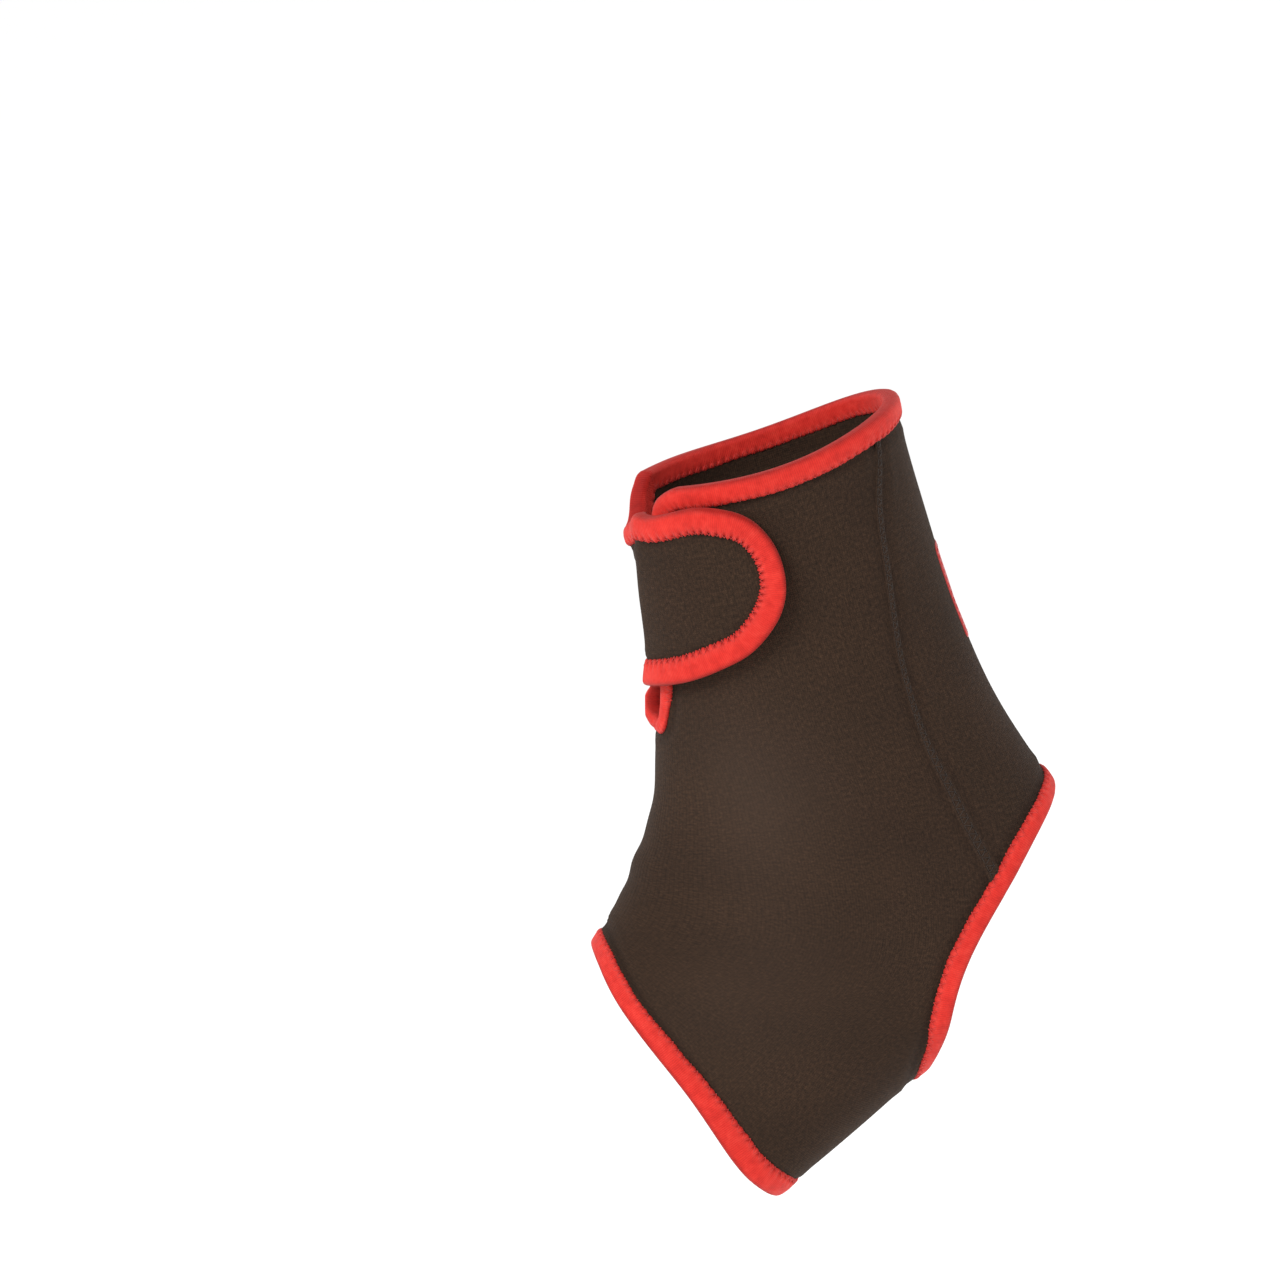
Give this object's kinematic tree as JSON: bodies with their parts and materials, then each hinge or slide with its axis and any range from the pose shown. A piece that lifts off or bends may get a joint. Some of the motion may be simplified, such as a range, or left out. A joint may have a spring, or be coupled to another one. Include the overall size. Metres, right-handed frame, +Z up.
{
  "type": "ankle brace",
  "caption": "Slip-on ankle support sleeve with open heel and open foot end, a front slit closed by a wrap-over tab, and tape folded over every edge",
  "frame": {"origin": "the middle of the ankle inside the brace, where the leg sits, which is what holds the brace up", "axes": "+Z up the lower leg, -Y towards the toes, +X to the outer side of the left foot"},
  "size_m": [0.0825, 0.1472, 0.2134],
  "materials": {
    "neoprene": "fine knit face over foam, matt",
    "edge_tape": "soft knitted tape, matt",
    "hook_tape": "hook tape, matt",
    "label": "smooth, slightly satin"
  },
  "bodies": {
    "root": {"body": "neoprene", "rim_binding": "edge_tape", "heel_binding": "edge_tape", "foot_binding": "edge_tape", "hook_patch": "hook_tape", "back_label": "label"}
  },
  "joints": []
}
